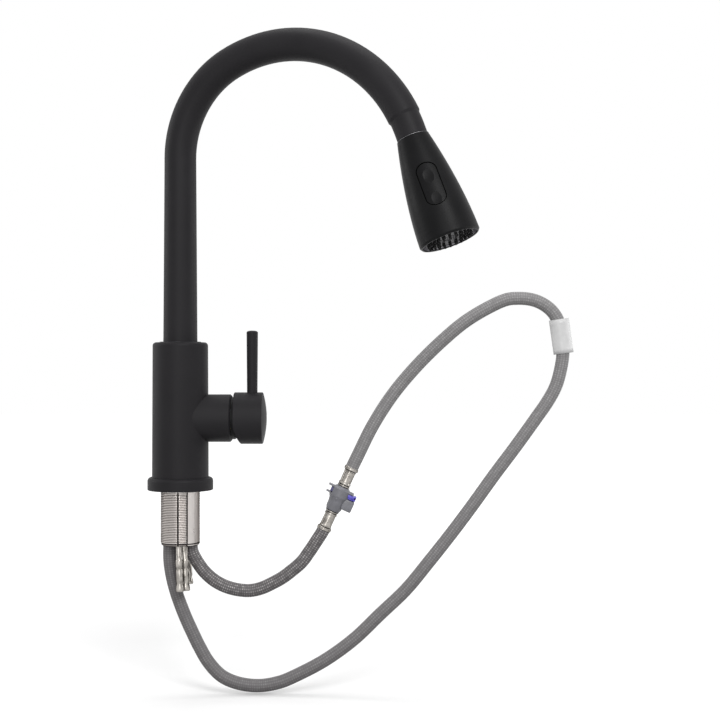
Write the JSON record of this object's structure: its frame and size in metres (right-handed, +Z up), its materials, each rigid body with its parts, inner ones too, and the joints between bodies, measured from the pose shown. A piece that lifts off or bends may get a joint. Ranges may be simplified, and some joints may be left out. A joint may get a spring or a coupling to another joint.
{
  "type": "pull-down kitchen mixer tap",
  "caption": "Single-lever kitchen mixer with a gooseneck spout, a pull-down spray head and a braided pull-out hose with a snap connector",
  "frame": {"origin": "centre of the underside of the flange, on the deck's top face, on the body's axis", "axes": "+Z up the body's axis; +X towards the handle, over which the spout reaches; -Y towards the user, to whose side the spout is swung by 26 degrees"},
  "size_m": [0.3585, 0.1585, 0.5483],
  "materials": {
    "black_paint": "matte black powder coat",
    "head_black": "matte black moulding",
    "black_rubber": "smooth rubber",
    "stainless_steel": "turned stainless steel",
    "dark_plastic": "moulded",
    "white_plastic": "moulded",
    "disc_ceramic": "lapped",
    "brass": "turned",
    "grey_braid": "woven cover",
    "dark_braid": "woven cover, coarser",
    "grey_plastic": "moulded",
    "blue_plastic": "moulded release clip",
    "grey_film": "thin loose film tube"
  },
  "bodies": {
    "body": {"body_casting": "black_paint", "base_seal": "black_rubber", "threaded_shank": "stainless_steel", "swivel_bush_upper": "dark_plastic", "swivel_bush_lower": "white_plastic", "body_hose": "grey_braid", "outlet_hose_top": "dark_braid", "cartridge_base": "white_plastic", "base_seals": "black_rubber", "fixed_disc": "disc_ceramic", "cartridge_housing": "white_plastic", "cartridge_nut": "brass", "trim_ring": "head_black", "hot_tail": "stainless_steel", "cold_tail": "stainless_steel", "rear_tail": "stainless_steel", "pullout_hose": "grey_braid", "outlet_hose": "dark_braid", "hose_sleeve": "grey_film", "upper_ferrule": "stainless_steel", "lower_ferrule": "stainless_steel", "connector_body": "grey_plastic", "connector_clip": "blue_plastic", "connector_stem": "brass", "connector_o_ring": "black_rubber"},
    "spout": {"spout_tube": "black_paint", "spout_collar": "head_black", "dock_insert": "white_plastic", "spout_clip": "stainless_steel", "spout_hose": "grey_braid"},
    "head": {"head_shell": "head_black", "head_hose": "grey_braid", "hose_nut": "stainless_steel", "hose_washer": "black_rubber", "head_core": "dark_plastic", "head_check_valve": "white_plastic", "toggle_pin": "stainless_steel", "nozzle_plate": "dark_plastic", "nozzle_mat": "black_rubber", "face_ring": "grey_plastic", "aerator": "dark_plastic"},
    "toggle": {"spray_toggle": "head_black"},
    "spool": {"diverter_spool": "white_plastic"},
    "mixer": {"cartridge_rotor": "white_plastic", "stem_pin": "stainless_steel"},
    "disc": {"moving_disc": "disc_ceramic"},
    "handle": {"stem": "stainless_steel", "handle_cap": "black_paint", "lever": "black_paint", "set_screw": "stainless_steel", "screw_plug": "black_rubber"}
  },
  "joints": [
    {"name": "spout_swivel", "type": "hinge", "parent": "body", "child": "spout", "pos_m": [0, 0, 0.1], "axis": [0, 0, 1], "continuous": true},
    {"name": "head_pull", "type": "slide", "parent": "spout", "child": "head", "axis": [0.3265, -0.1592, -0.9317], "range_m": [0, 0.03]},
    {"name": "toggle_rock", "type": "hinge", "parent": "head", "child": "toggle", "pos_m": [0.20547, -0.11476, 0.24183], "axis": [-0.9421, 0.0248, -0.3344], "range_deg": [-2.5, 2.5]},
    {"name": "spool_shift", "type": "slide", "parent": "head", "child": "spool", "axis": [0.0763, 0.9869, -0.1419], "range_m": [-0.0008, 0.0008]},
    {"name": "handle_mix", "type": "hinge", "parent": "body", "child": "mixer", "pos_m": [0.03, 0, 0.0602], "axis": [1, 0, 0], "range_deg": [-45, 45]},
    {"name": "handle_lift", "type": "hinge", "parent": "mixer", "child": "handle", "pos_m": [0.03, 0, 0.0602], "axis": [0, 1, 0], "range_deg": [0, 25]},
    {"name": "disc_shift", "type": "slide", "parent": "mixer", "child": "disc", "axis": [0, 0, 1], "range_m": [0, 0.0052]}
  ],
  "couplings": [
    {"joint": "spool_shift", "follows": "toggle_rock", "m_per_rad": -0.011},
    {"joint": "disc_shift", "follows": "handle_lift", "m_per_rad": 0.0117}
  ]
}
